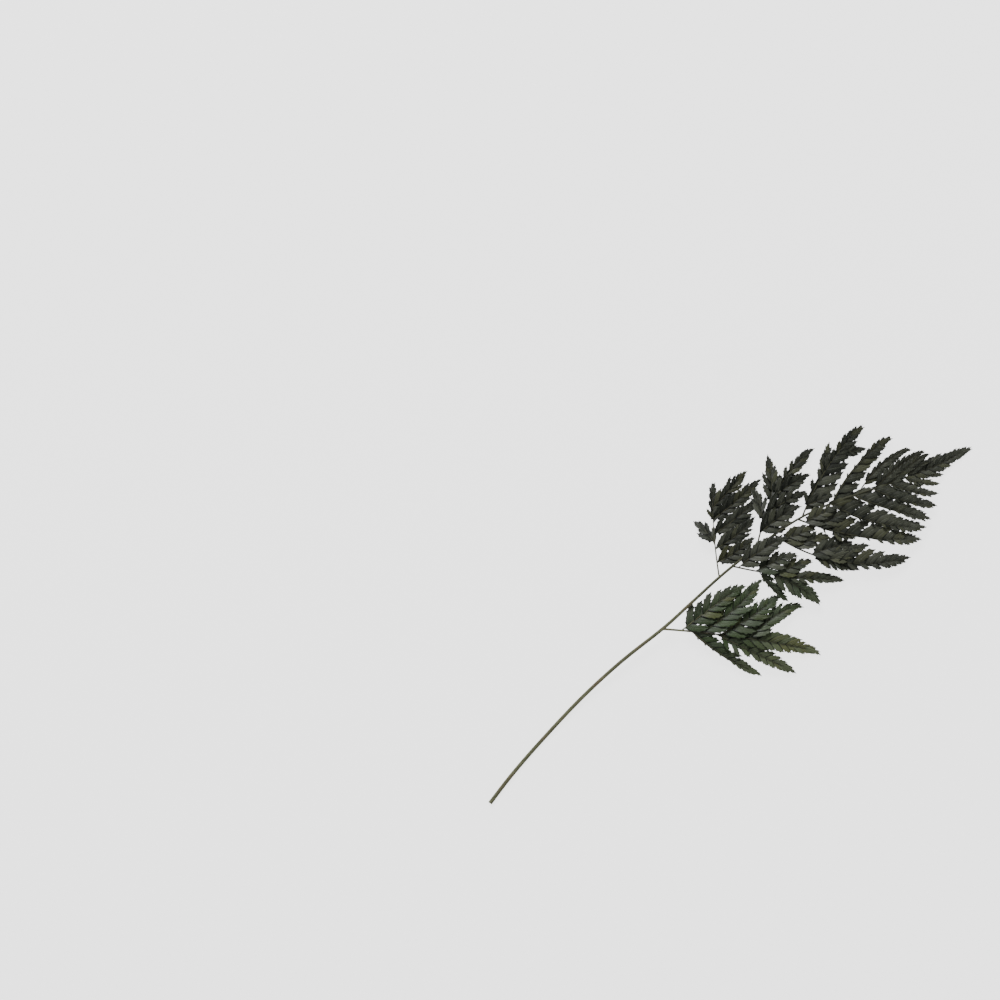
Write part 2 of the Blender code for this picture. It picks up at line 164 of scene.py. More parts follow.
# The flat leaflet: faces across and along, and half widths from root to tip of one that stands free and of
# one that has grown together with its neighbours
LEAFLET_ACROSS = 4
LEAFLET_ALONG = 9
FREE_HALF_WIDTHS = (0.84, 0.90, 0.96, 1.0, 1.0, 0.96, 0.87, 0.71, 0.45, 0.05)
FUSED_HALF_WIDTHS = (0.95, 1.0, 1.0, 0.96, 0.89, 0.79, 0.66, 0.50, 0.30, 0.05)
CREASE_WIDTH = 0.3

# Its edge teeth: the part of its length that has them, and how far they point forward
TOOTHED = (0.35, 0.99)
TOOTH_SHIFT = 0.35
TOOTH_LIFT = 0.9

# Its root: how much of it slants to follow the rib. A leaflet nearly along the rib has no slant.
ROOT_SHARE = 0.5
ALONG_RIB = 0.2

# What differs from leaflet to leaflet, as ranges
ANGLE_SPREAD = (-0.06, 0.06)
LENGTH_SPREAD = (-0.08, 0.07)
CURLS = (0.15, 0.35)
TILT_SPREAD = (-0.12, 0.12)
SAGS = (-0.02, 0.07)
LIFTS = (0.02, 0.06)
PITCH_SPREAD = (0.9, 1.1)

# What differs from blade to blade, and how much of a leaflet's tone is its own, when fused and when free
BLADE_TONES = (0.2, 0.7)
BLADE_AGES = (-0.25, 0.25)
LEAN_SPREAD = (0.93, 1.07)
OWN_TONE = (0.3, 0.8)

# Leaflets along a blade: their length falls over its last part, where the trailing side catches up. They
# lean further out on a blade with a long reach, and less towards any tip.
SHORTEST_LEAFLET = 2.6
TAPER_SHARE = 0.65
TAPER_POWER = 0.68
TRAILING_EVEN = (0.5, 0.9)
POINTED_END = (1.6, 0.5)
FUSING_FROM = 0.3
FUSING_OVER = 0.4
WIDE_REACH = 20.0
LEAN_LIMITS = (0.7, 1.1)
LEAN_AT_FOOT = 1.15
LEAN_LOST = 0.35
TRAILING_START = 2.0
WIDTH_FUSED = 1.4
WIDEST_FUSED = 0.6
WIDEST_FREE = 0.38

# The leaflet at a blade's tip: its length as a share of the blade's reach, its limits, and its width
END_SHARE = 0.8
END_LEAFLET = (6.0, 14.0)
END_WIDTH = 0.36

# The strip of leaf along a rib: its step, and its half width as a share of the leaflets' length
WEB_STEP = 2.5
WEB_FREE = 0.22
WEB_FUSED = 0.3

# The least height of a leaf's top above the floor
LOWEST = 0.36

# Where the colours change, in millimetres of the frame: across it, and along it. The left side gets painted
# shade, and the outer ends of the lowest right branches get painted light.
SHADED_LEFT = (-70.0, -15.0)
FRESH_STARTS = (-14.0, 2.0)
PAINTED_LIGHT_OUTER_STARTS = (25.0, 70.0)
FRESH_ENDS = (10.0, 80.0)
STALK_DARKENS = (-40.0, 60.0)

# Veins: how many pairs a leaflet has, how far they point forward, and their colour
SIDE_VEINS = 13.0
SIDE_VEIN_SLOPE = 2.6
VEIN = (0.098, 0.108, 0.076)

# The waxy bloom on some green leaflets, and the marks on the stalk
WAXY = (0.12, 0.12, 0.12)
BROWN = (0.13, 0.085, 0.05)
SCAR = (0.05, 0.035, 0.025)


class FrondSettings(bpy.types.PropertyGroup):
    pitch: bpy.props.FloatProperty(
        name="Leaflet pitch", description="Distance between the smallest leaflets on one side of a rib",
        default=0.0018, min=0.0005, unit="LENGTH")
    pitch_growth: bpy.props.FloatProperty(
        name="Pitch growth", description="What a leaflet's length adds to that distance",
        default=0.10, min=0.0)
    pitch_curve: bpy.props.FloatProperty(
        name="Pitch curve", description="What the square of its length adds, per metre",
        default=16.0, min=0.0)
    overlap: bpy.props.FloatProperty(
        name="Overlap", description="Width of a leaflet as a share of the room it has",
        default=1.16, min=0.5)
    angle: bpy.props.FloatProperty(
        name="Leaflet angle", description="Angle between a rib and its leaflets",
        default=math.radians(44.0), subtype="ANGLE", unit="ROTATION")
    thickness: bpy.props.FloatProperty(
        name="Leaf thickness", description="Thickness of the leaf tissue",
        default=0.00032, min=0.0001, unit="LENGTH")
    crown: bpy.props.FloatProperty(
        name="Crown", description="Height of a leaflet's crown as a share of its width", default=0.16)
    crease: bpy.props.FloatProperty(
        name="Crease", description="Depth of a leaflet's middle crease as a share of its width",
        default=0.12)
    shingle: bpy.props.FloatProperty(
        name="Shingle", description="Slope of each leaflet down under the next one", default=0.28)
    teeth: bpy.props.FloatProperty(
        name="Teeth", description="Depth of the edge teeth as a share of the half width", default=0.17)
    seed: bpy.props.IntProperty(name="Seed", description="Start of the random draws", default=11)
    dark: bpy.props.FloatVectorProperty(
        name="Dark leaf", description="Colour of the darkest leaflets", default=(0.008, 0.0105, 0.0065),
        subtype="COLOR", size=3)
    light: bpy.props.FloatVectorProperty(
        name="Light leaf", description="Colour of the lightest leaflets", default=(0.072, 0.077, 0.056),
        subtype="COLOR", size=3)
    green: bpy.props.FloatVectorProperty(
        name="Green leaf", description="Colour of the greener lowest side branches",
        default=(0.036, 0.068, 0.020), subtype="COLOR", size=3)
    # Painted light: a lighter colour for the outer ends of the lowest right branches, where less shade
    # falls.
    outer: bpy.props.FloatVectorProperty(
        name="Outer leaf", description="Colour towards the tips of those branches",
        default=(0.135, 0.155, 0.082), subtype="COLOR", size=3)
    olive: bpy.props.FloatVectorProperty(
        name="Olive leaf", description="Colour of single yellowed leaflets", default=(0.10, 0.105, 0.035),
        subtype="COLOR", size=3)
    stalk: bpy.props.FloatVectorProperty(
        name="Stalk", description="Colour of the stalk and the ribs", default=(0.12, 0.125, 0.066),
        subtype="COLOR", size=3)


class StudioSettings(bpy.types.PropertyGroup):
    view_width: bpy.props.FloatProperty(
        name="View width", description="Width of the floor that the camera sees",
        default=0.81, unit="LENGTH")
    view_height: bpy.props.FloatProperty(
        name="Camera height", description="Height of the camera above the floor",
        default=3.0, unit="LENGTH")
    view_centre: bpy.props.FloatVectorProperty(
        name="View centre", description="Middle of the view, in plan from the cut end",
        default=(-0.1925, 0.1525), size=2, unit="LENGTH")
    view_right: bpy.props.FloatVectorProperty(
        name="View right", description="Direction in plan that points right in the view",
        default=(0.5949, 0.8038), size=2)
    floor: bpy.props.FloatVectorProperty(
        name="Floor", description="Colour of the floor", default=(0.4, 0.4, 0.4), subtype="COLOR", size=3)
    glow: bpy.props.FloatProperty(
        name="Floor glow", description="Light that the floor gives, as a light table does", default=2.4)
    light: bpy.props.FloatProperty(
        name="Light", description="Power of the soft light", default=130.0, unit="POWER")
    sky: bpy.props.FloatProperty(
        name="Sky", description="Strength of the light from all round", default=0.22)


# Lines through space

class Route:
    """A smooth line through space, read by its length in plan."""

    def __init__(self, points):
        self.points = points
        self.lengths = [0.0]
        for before, after in zip(points, points[1:]):
            self.lengths.append(self.lengths[-1] + (after - before).xy.length)
        self.length = self.lengths[-1]

    def span(self, distance):
        """The index of the run that holds a distance, and how far along the run it is."""
        index = 0
        while index < len(self.points) - 2 and self.lengths[index + 1] < distance:
            index += 1
        size = self.lengths[index + 1] - self.lengths[index]
        return index, (distance - self.lengths[index]) / size

    def at(self, distance):
        index, share = self.span(distance)
        return self.points[index].lerp(self.points[index + 1], min(share, 1.0))

    def heading(self, distance):
        """Unit direction in plan."""
        index, _ = self.span(distance)
        return (self.points[index + 1] - self.points[index]).xy.normalized()


def left_of(heading):
    return Vector((-heading.y, heading.x))


def turned(heading, angle):
    return heading * math.cos(angle) + left_of(heading) * math.sin(angle)


def mixed(a, b, share):
    return a + (b - a) * share


def limited(value, low=0.0, high=1.0):
    return max(low, min(high, value))


def smooth_rows(rows, steps):
    """Rows of numbers on a smooth line through the given rows."""
    padded = [rows[0]] + list(rows) + [rows[-1]]
    result = []
    for a, b, c, d in zip(padded, padded[1:], padded[2:], padded[3:]):
        for step in range(steps):
            t = step / steps
            result.append([
                0.5 * (2 * q + (r - p) * t + (2 * p - 5 * q + 4 * r - s) * t * t
                       + (3 * q - p - 3 * r + s) * t ** 3)
                for p, q, r, s in zip(a, b, c, d)
            ])
    result.append(list(rows[-1]))
    return result


def branch_route(start, tip, bow):
    """A branch from a point on its parent to its tip, bowed to its left and slightly arched upwards."""
    chord = Vector(tip) - start
    side = left_of(chord.xy.normalized())
    arch = BRANCH_ARCH * chord.xy.length
    points = []
    for step in range(BRANCH_STEPS + 1):
        t = step / BRANCH_STEPS
        hump = 4.0 * t * (1.0 - t)
        point = start + chord * t
        point.xy += side * bow * hump
        point.z += arch * hump
        points.append(point)
    return Route(points)


def side_ahead(parent, distance, route):
    """The side of a branch that faces its parent's tip: 1 for left, -1 for right."""
    turn = route.heading(0.0).cross(parent.heading(distance))
    return 1 if turn > 0.0 else -1


def in_frame(point):
    """A point in millimetres from the cut end, as a point of the frame in metres."""
    return Vector((point.x + TO_FRAME.x, point.y + TO_FRAME.y, point.z)) * MM


# Pieces

def deselect_all():
    if bpy.context.object and bpy.context.object.mode != "OBJECT":
        bpy.ops.object.mode_set(mode="OBJECT")
    bpy.ops.object.select_all(action="DESELECT")


def make_active(thing):
    deselect_all()
    thing.select_set(True)
    bpy.context.view_layer.objects.active = thing


def finish_piece(thing, *materials):
    """Gives a piece its materials, and lets it ride with the frond that it stands for."""
    thing.data.materials.clear()
    for material in materials:
        thing.data.materials.append(material)
    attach(thing, "root")
    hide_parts("frond")


def leaflet_blank():
    """The flat leaflet: each corner's place across, from -1 to 1, and its row along, and the faces."""
    deselect_all()
    bpy.ops.mesh.primitive_grid_add(x_subdivisions=LEAFLET_ACROSS, y_subdivisions=LEAFLET_ALONG, size=2.0)
    grid = bpy.context.object
    corners = []
    for corner in grid.data.vertices:
        row = round((corner.co.y + 1.0) * 0.5 * LEAFLET_ALONG)
        corners.append((corner.co.x, row))
    faces = [tuple(face.vertices) for face in grid.data.polygons]
    bpy.data.objects.remove(grid)
    return corners, faces


class Foliage:
    """The leaflets of one piece, each a copy of the flat leaflet laid along its own blade."""

    def __init__(self, settings, blank, seed):
        self.settings = settings
        self.corners, self.faces = blank
        self.random = random.Random(seed)
        self.blade_tone = 0.5
        self.blade_age = 0.0
        self.points = []
        self.polygons = []
        self.places = []
        self.tones = []
        self.ages = []

    def add(self, place_on_blade, root, side, heading, angle, length, width, free):
        """One leaflet. Root: a distance along the rib. Free: 1 for a separate one, 0 for a fused one."""
        s = self.settings
        draw = self.random
        angle += draw.uniform(*ANGLE_SPREAD) * (1.0 + free)
        length *= 1.0 + draw.uniform(*LENGTH_SPREAD) * (1.0 + 0.6 * free)
        curl = draw.uniform(*CURLS)
        root_slant = side / math.tan(angle + 0.5 * curl) if angle > ALONG_RIB else 0.0
        tilt = s.shingle * (0.55 + 0.45 * free) + draw.uniform(*TILT_SPREAD) * (0.5 + free)
        sag = draw.uniform(*SAGS) * (0.3 + free)
        lift = draw.uniform(*LIFTS)
        tone = mixed(self.blade_tone, draw.random(), mixed(*OWN_TONE, free))
        age = limited(draw.random() + self.blade_age)
        first = len(self.points)
        for across, row in self.corners:
            t = row / LEAFLET_ALONG
            half = 0.5 * width * mixed(FUSED_HALF_WIDTHS[row], FREE_HALF_WIDTHS[row], free)
            along = t
            if abs(across) > 0.99 and TOOTHED[0] < t < TOOTHED[1]:
                swing = 1.0 if row % 2 else -1.0
                half *= 1.0 + s.teeth * swing
                along += swing * TOOTH_SHIFT / LEAFLET_ALONG * TOOTH_LIFT
            pointing = turned(heading, side * (angle + curl * (0.5 - along)))
            slant = root_slant * half * across * max(0.0, 1.0 - t / ROOT_SHARE) ** 2
            plan = pointing * (length * along + slant) - left_of(pointing) * (half * across)
            profile = s.crown * (1.0 - across * across) - s.crease * math.exp(-(across / CREASE_WIDTH) ** 2)
            z = width * profile * min(1.0, 3 * t)
            z += length * (lift * 4.0 * t * (1.0 - t) - sag * t * t)
            z -= tilt * side * across * half
            point = place_on_blade(root, plan)
            point.z += z
            self.corner(point, (0.5 + 0.5 * across, t), tone, age)
        for face in self.faces:
            self.polygons.append(tuple(first + corner for corner in face))

    def corner(self, point, place, tone, age):
        point.z = max(point.z, LOWEST)
        self.points.append(in_frame(point))
        self.places.append(place)
        self.tones.append(tone)
        self.ages.append(age)

    def web(self, rows):
        """A strip of leaf along a rib, between the leaflets' roots, dark with painted shade. Each row has
        three points across it.
        """
        for row in rows:
            for point in row:
                # The low tone of 0.1 darkens the strip: painted shade in the gaps between the leaflets'
                # roots, on a strip that is partly real fused leaf.
                self.corner(point, (0.75, 0.3), 0.1, 0.0)
        last = len(self.points) - 3 * len(rows)
        for index in range(len(rows) - 1):
            a = last + 3 * index
            self.polygons.append((a, a + 1, a + 4, a + 3))
            self.polygons.append((a + 1, a + 2, a + 5, a + 4))

    def build(self, name, top, underside):
        mesh = bpy.data.meshes.new(name)
        mesh.from_pydata(self.points, [], self.polygons)
        uv = mesh.uv_layers.new(name="leaflet")
        for loop in mesh.loops:
            uv.data[loop.index].uv = self.places[loop.vertex_index]
        tone = mesh.attributes.new("tone", "FLOAT", "POINT")
        tone.data.foreach_set("value", self.tones)
        age = mesh.attributes.new("age", "FLOAT", "POINT")
        age.data.foreach_set("value", self.ages)
        thing = bpy.data.objects.new(name, mesh)
        bpy.context.scene.collection.objects.link(thing)
        make_active(thing)
        finish_piece(thing, top, underside)
        solid = thing.modifiers.new("leaf tissue", "SOLIDIFY")
        solid.thickness = self.settings.thickness
        solid.offset = -1.0
        solid.material_offset = 1
        bpy.ops.object.modifier_apply(modifier=solid.name)
        bpy.ops.object.shade_smooth_by_angle(angle=math.radians(50.0))
        return thing


class Blade:
    """The leafy part of a branch, on both sides of its rib. Ahead is the side of its parent's tip."""

    def __init__(self, route, ahead, reach, first, trailing, roll, loose):
        self.route = route
        self.ahead = ahead
        self.reach = reach
        self.first = first
        self.trailing = trailing
        self.roll = roll
        self.loose = loose

    def share(self, distance):
        """How far a distance is along the leafy part, from 0 to 1."""
        return limited((distance - self.first) / (self.route.length - self.first))

    def leaflet_length(self, distance, side):
        """Leaflets keep their length at first, then get shorter; trailing ones catch up near the tip."""
        share = self.share(distance)
        length = self.reach * limited((1.0 - share) / TAPER_SHARE) ** TAPER_POWER
        if side != self.ahead:
            low, high = TRAILING_EVEN
            length *= mixed(self.trailing, 1.0, limited((share - low) / (high - low)))
        return max(SHORTEST_LEAFLET, length)

    def freedom(self, share):
        """1 where the leaflets stand free, down to 0 where they have grown together."""
        return self.loose * limited(1.0 - (share - FUSING_FROM) / FUSING_OVER)

    def place(self, root, plan):
        """A point on the blade's own curved surface, by its offset in plan from a place on the rib."""
        heading = self.route.heading(root)
        across = plan.dot(left_of(heading))
        along = plan.dot(heading)
        point = self.route.at(root).copy()
        point.z = self.route.at(root + along).z
        point.xy += plan
        point.z -= self.ahead * self.roll * across + BLADE_DROOP * across * across
        return point

    def cover(self, foliage):
        """Sets the leaflets along the rib, closer and more fused towards the tip."""
        settings = foliage.settings
        draw = foliage.random
        lean = settings.angle * limited(self.reach / WIDE_REACH, *LEAN_LIMITS) * draw.uniform(*LEAN_SPREAD)
        foliage.blade_tone = draw.uniform(*BLADE_TONES)
        foliage.blade_age = draw.uniform(*BLADE_AGES)
        end = limited(END_SHARE * self.reach, *END_LEAFLET)
        for side in (1, -1):
            root = self.first + (0.0 if side == self.ahead else TRAILING_START)
            while root < self.route.length - 0.55 * end:
                share = self.share(root)
                free = self.freedom(share)
                pitch = self.pitch(settings, self.leaflet_length(root, self.ahead))
                angle = lean * (LEAN_AT_FOOT - LEAN_LOST * share)
                most = POINTED_END[0] + POINTED_END[1] * (self.route.length - root)
                length = min(self.leaflet_length(root, side), most)
                width = settings.overlap * pitch * math.sin(angle) * mixed(WIDTH_FUSED, 1.0, free)
                width = min(width, length * mixed(WIDEST_FUSED, WIDEST_FREE, free))
                foliage.add(self.place, root, side, self.route.heading(root), angle, length, width, free)
                root += pitch * draw.uniform(*PITCH_SPREAD)
        tip = self.route.length - end
        forward = self.route.heading(self.route.length)
        foliage.add(self.place, tip, 1, forward, 0.0, end + 0.5, END_WIDTH * end, 0.0)
        self.web(foliage)

    def pitch(self, settings, length):
        """Distance to the next leaflet on the same side, by the length of this one."""
        growth = settings.pitch_growth + settings.pitch_curve * MM * length
        return settings.pitch / MM + length * growth

    def web(self, foliage):
        """Closes the leaf along the rib, for a part of the leaflets' length that grows towards the tip."""
        steps = max(4, round((self.route.length - self.first) / WEB_STEP))
        rows = []
        for step in range(steps + 1):
            root = mixed(self.first, self.route.length - 1.5, step / steps)
            fused = 1.0 - self.freedom(self.share(root))
            row = []
            for side in (1, 0, -1):
                reach = self.leaflet_length(root, side) * mixed(WEB_FREE, WEB_FUSED, fused)
                wide = abs(side) * max(1.0, reach)
                point = self.place(root, left_of(self.route.heading(root)) * (side * wide))
                point.z -= 0.05 + 0.3 * abs(side)
                row.append(point)
            rows.append(row)
        foliage.web(rows)


def rib_radii(route):
    foot = RIB_FOOT_RADIUS + RIB_GROWTH * route.length
    return [mixed(foot, RIB_TIP_RADIUS, step / BRANCH_STEPS) for step in range(BRANCH_STEPS + 1)]


def grow(parent, row, ribs, foliage, loose):
    """A side branch: its rib, its leaflets, and the same for its own side branches."""
    route = branch_route(parent.at(row.along), row.tip, row.bow)
    ribs.append((route.points, rib_radii(route)))
    Blade(route, side_ahead(parent, row.along, route), *row[3:7], loose).cover(foliage)
    for smaller in row.branches:
        grow(route, smaller, ribs, foliage, 1.0)


def tubes(name, runs, resolution):
    """Closed round stems in one piece, each along its own points."""
    curve = bpy.data.curves.new(name, "CURVE")
    curve.dimensions = "3D"
    curve.bevel_depth = MM
    curve.bevel_resolution = resolution
    curve.use_fill_caps = True
    for points, radii in runs:
        spline = curve.splines.new("POLY")
        spline.points.add(len(points) - 1)
        for knot, point, radius in zip(spline.points, points, radii):
            knot.co = (*in_frame(point), 1.0)
            knot.radius = radius
    thing = bpy.data.objects.new(name, curve)
    bpy.context.scene.collection.objects.link(thing)
    make_active(thing)
    bpy.ops.object.convert(target="MESH")
    thing = bpy.context.object
    bpy.ops.object.mode_set(mode="EDIT")
    bpy.ops.mesh.select_all(action="SELECT")
    bpy.ops.mesh.remove_doubles(threshold=0.000001)
    bpy.ops.mesh.normals_make_consistent(inside=False)
    bpy.ops.object.mode_set(mode="OBJECT")
    bpy.ops.object.shade_smooth_by_angle(angle=math.radians(40.0))
    return thing


def rachis_route():
    rows = smooth_rows(STALK_LINE, STALK_STEPS)
    return rows, Route([Vector(row[:3]) for row in rows])


# Materials

class Value:
    """A number that varies over a surface. Arithmetic on it adds Math nodes."""

    def __init__(self, graph, socket):
        self.graph = graph
        self.socket = socket

    def maths(self, operation, first, second=None):
        inputs = {0: first} if second is None else {0: first, 1: second}
        return self.graph.value("ShaderNodeMath", {"operation": operation}, inputs)

    def __add__(self, other):
        return self.maths("ADD", self, other)

    def __radd__(self, other):
        return self.maths("ADD", other, self)

    def __sub__(self, other):
        return self.maths("SUBTRACT", self, other)

    def __rsub__(self, other):
        return self.maths("SUBTRACT", other, self)

    def __mul__(self, other):
        return self.maths("MULTIPLY", self, other)

    def __abs__(self):
        return self.maths("ABSOLUTE", self)

    def fraction(self):
        return self.maths("FRACT", self)

    def between(self, low, high):
        """0 below low, 1 above high, and smooth in between."""
        settings = {"interpolation_type": "SMOOTHSTEP"}
        inputs = {"Value": self, "From Min": low, "From Max": high}
        return self.graph.value("ShaderNodeMapRange", settings, inputs)


class Graph:
    """The nodes of one material."""

    def __init__(self, name):
        self.material = bpy.data.materials.new(name)
        self.material.use_nodes = True
        self.tree = self.material.node_tree
        self.surface = self.tree.nodes["Principled BSDF"]

    def node(self, kind, settings=(), inputs=()):
        """A node of a type, with its settings and then the values or links of its sockets."""
        node = self.tree.nodes.new(kind)
        for key, value in dict(settings).items():
            setattr(node, key, value)
        for key, value in dict(inputs).items():
            self.feed(node.inputs[key], value)
        return node

    def feed(self, socket, value):
        if isinstance(value, Value):
            self.tree.links.new(value.socket, socket)
        elif isinstance(value, bpy.types.NodeSocket):
            self.tree.links.new(value, socket)
        else:
            socket.default_value = value

    def value(self, kind, settings=(), inputs=(), output=0):
        return Value(self, self.node(kind, settings, inputs).outputs[output])

    def attribute(self, name):
        return self.value("ShaderNodeAttribute", {"attribute_name": name}, output="Fac")

    def axes(self, vector):
        node = self.node("ShaderNodeSeparateXYZ", inputs={"Vector": vector})
        return [Value(self, socket) for socket in node.outputs]

    def noise(self, vector, scale, detail=2.0, stretch=(1.0, 1.0, 1.0)):
        mapped = self.node("ShaderNodeMapping", inputs={"Vector": vector, "Scale": stretch}).outputs[0]
        inputs = {"Vector": mapped, "Scale": scale, "Detail": detail}
        return self.value("ShaderNodeTexNoise", inputs=inputs, output="Fac")

    def mix(self, share, first, second, kind="MIX"):
        """A colour between two colours."""
        node = self.node("ShaderNodeMix", {"data_type": "RGBA", "blend_type": kind})
        self.feed(node.inputs[0], share)
        self.feed(node.inputs[6], first)
        self.feed(node.inputs[7], second)
        return node.outputs[2]

    def bump(self, height, distance):
        return self.node("ShaderNodeBump", inputs={"Height": height, "Distance": distance}).outputs[0]

    def finish(self, **sockets):
        for name, value in sockets.items():
            self.feed(self.surface.inputs[name.replace("_", " ")], value)
        return self.material


def opaque(colour, strength=1.0):
    return (*[channel * strength for channel in colour], 1.0)


def blend(first, second, share):
    return opaque([mixed(a, b, share) for a, b in zip(first, second)])


def leaf_colour(g, settings, place, tone, age, blotches, paler):
    """The tissue's colour: charcoal green, fresher on the lowest right branches, with painted shade on the
    left and painted light at those branches' outer ends.
    """
    x, y, _ = g.axes(place)
    right = x * 1000.0
    # Painted shade: the frond's left side is darkened.
    painted_shade_left = 1.0 - right.between(*SHADED_LEFT)
    lightness = tone * 0.7 + blotches * 0.45 + paler - painted_shade_left * 0.2
    colour = g.mix(lightness.between(0.15, 0.95), opaque(settings.dark), opaque(settings.light))
    near_foot = 1.0 - (y * 1000.0 + (tone - 0.5) * 30.0 - x * 700.0).between(*FRESH_ENDS)
    to_right = right.between(*FRESH_STARTS)
    fresh = near_foot * to_right * (0.6 + tone * 0.4)
    colour = g.mix(fresh, colour, opaque(settings.green))
    minty = age.between(0.28, 0.34) * (1.0 - age.between(0.5, 0.56)) * near_foot * to_right
    colour = g.mix(minty * (0.35 + blotches * 0.5), colour, blend(settings.green, WAXY, 0.4))
    # Painted light: the outer ends of the lowest right branches are lightened.
    outer = right.between(*PAINTED_LIGHT_OUTER_STARTS) * near_foot * (0.35 + tone * 0.55)
    colour = g.mix(outer, colour, opaque(settings.outer))
    greyed = (1.0 - age.between(0.08, 0.22)) * near_foot * 0.4
    colour = g.mix(greyed, colour, blend(settings.dark, settings.light, 0.7))
    yellowed = age.between(0.8, 0.9) * (0.3 + blotches * 0.7) * (0.4 + near_foot * 0.5)
    return g.mix(yellowed, colour, opaque(settings.olive))


def leaf_material(settings, name, paler):
    """Leaf tissue: dull, with a pale middle vein, fine side veins, and painted shade along the leaflets'
    edges and by their roots.
    """
    g = Graph(name)
    coordinates = g.node("ShaderNodeTexCoord")
    place = coordinates.outputs["Object"]
    u, t, _ = g.axes(coordinates.outputs["UV"])
    across = abs(u - 0.5) * 2.0
    blotches = g.noise(place, 160.0, 3.0)
    fibres = g.noise(place, 1400.0, 2.0)
    colour = leaf_colour(g, settings, place, g.attribute("tone"), g.attribute("age"), blotches, paler)
    side_veins = (t * SIDE_VEINS - across * SIDE_VEIN_SLOPE).fraction()
    vein = (abs(side_veins - 0.5) * 2.0).between(0.72, 1.0) * (1.0 - across * 0.5)
    middle = 1.0 - across.between(0.02, 0.12)
    pale = (vein * 0.5 + middle * 0.35) * (0.5 + blotches)
    colour = g.mix(pale, colour, opaque(VEIN))
    # Painted shade: each leaflet's edges, where its neighbour overlaps it, and its root by the rib are
    # darkened.
    painted_shade_edges = across.between(0.7, 0.98) * 0.95 + (1.0 - t.between(0.0, 0.35)) * 0.55
    colour = g.mix(painted_shade_edges.between(0.0, 1.1), colour, opaque(settings.dark, 0.5))
    height = fibres * 0.35 - vein * 0.6 - middle * 0.8 + blotches * 0.6
    return g.finish(
        Base_Color=colour, Roughness=0.38 + fibres * 0.2, Metallic=0.0, Specular_IOR_Level=0.3,
        Normal=g.bump(height, 0.00022))


def stalk_material(settings):
    """A dull grey olive stalk with long streaks, a brown tinge and a few scars, darker among the leaves,
    with a patch of painted shade where leaves lie over it.
    """
    g = Graph("stalk")
    place = g.node("ShaderNodeTexCoord").outputs["Object"]
    streaks = g.noise(place, 900.0, 3.0, (1.0, 0.05, 1.0))
    patches = g.noise(place, 60.0, 3.0)
    scars = g.noise(place, 420.0, 1.0).between(0.68, 0.75)
    base = settings.stalk
    x, y, _ = g.axes(place)
    colour = g.mix(streaks.between(0.3, 0.75), opaque(base, 0.62), opaque(base, 1.35))
    colour = g.mix(patches.between(0.45, 0.7) * 0.5, colour, opaque(BROWN))
    colour = g.mix(scars * 0.6, colour, opaque(SCAR))
    colour = g.mix((y * 1000.0).between(*STALK_DARKENS) * 0.85, colour, opaque(base, 0.25))
    # Painted shade: a patch of the stalk where it runs under the leaves is darkened.
    painted_shade_under_leaves = (x * 1000.0).between(-6.0, 4.0) * (y * 1000.0).between(-34.0, -22.0)
    colour = g.mix(painted_shade_under_leaves * 0.75, colour, opaque(base, 0.25))
    return g.finish(
        Base_Color=colour, Roughness=0.5 + streaks * 0.25, Metallic=0.0, Specular_IOR_Level=0.35,
        Normal=g.bump(streaks + scars * 0.4, 0.0002))


def materials(settings):
    """The three finishes, made once."""
    if "leaf top" not in bpy.data.materials:
        leaf_material(settings, "leaf top", 0.0)
        leaf_material(settings, "leaf underside", 0.25)
        stalk_material(settings)
    return [bpy.data.materials[name] for name in ("leaf top", "leaf underside", "stalk")]


# Operators

class FROND_OT_stalk(bpy.types.Operator):
    """Makes the stalk: bare below, grooved along its top, running up through the leafy part"""
    bl_idname = "frond.stalk"
    bl_label = "Stalk"

    def execute(self, context):
        rows, route = rachis_route()
        thing = tubes("stalk", [(route.points, [row[3] for row in rows])], STALK_SIDES // 4)
        for corner in thing.data.vertices:
            if corner.normal.z > GROOVE_FACES_UP:
                corner.co.z -= STALK_GROOVE * MM
            corner.co.z = max(corner.co.z, 0.0)
        finish_piece(thing, materials(context.scene.frond)[2])
        return {"FINISHED"}


class FROND_OT_side_branches(bpy.types.Operator):
    """Grows the side branches of one side, each with its ribs and its leaflets"""
    bl_idname = "frond.side_branches"
    bl_label = "Side branches"

    side: bpy.props.EnumProperty(
        name="Side", description="Side of the stalk, seen from above with the tip away",
        items=(("RIGHT", "Right", ""), ("LEFT", "Left", "")), default="RIGHT")

    def execute(self, context):
        settings = context.scene.frond
        top, underside, stalk = materials(settings)
        blank = leaflet_blank()
        _, rachis = rachis_route()
        rows = RIGHT_PINNAE if self.side == "RIGHT" else LEFT_PINNAE
        for number, row in enumerate(rows):
            name = f"{self.side.lower()}_{number}"
            ribs = []
            foliage = Foliage(settings, blank, f"{settings.seed} {name}")
            loose = 1.0 if row.branches else limited((row.reach - 10.0) / 10.0, 0.1, 0.8)
            grow(rachis, row, ribs, foliage, loose)
            foliage.build(f"leaflets_{name}", top, underside)
            finish_piece(tubes(f"ribs_{name}", ribs, 1), stalk)
        return {"FINISHED"}


class FROND_OT_end(bpy.types.Operator):
    """Makes the toothed leaf at the end of the stalk"""
    bl_idname = "frond.end"
    bl_label = "End leaf"

    def execute(self, context):
        settings = context.scene.frond
        top, underside, _ = materials(settings)
        _, rachis = rachis_route()
        foliage = Foliage(settings, leaflet_blank(), f"{settings.seed} end")
        Blade(rachis, 1, END_REACH, END_FIRST, END_TRAILING, 0.0, 0.3).cover(foliage)
        foliage.build("leaflets_end", top, underside)
        return {"FINISHED"}


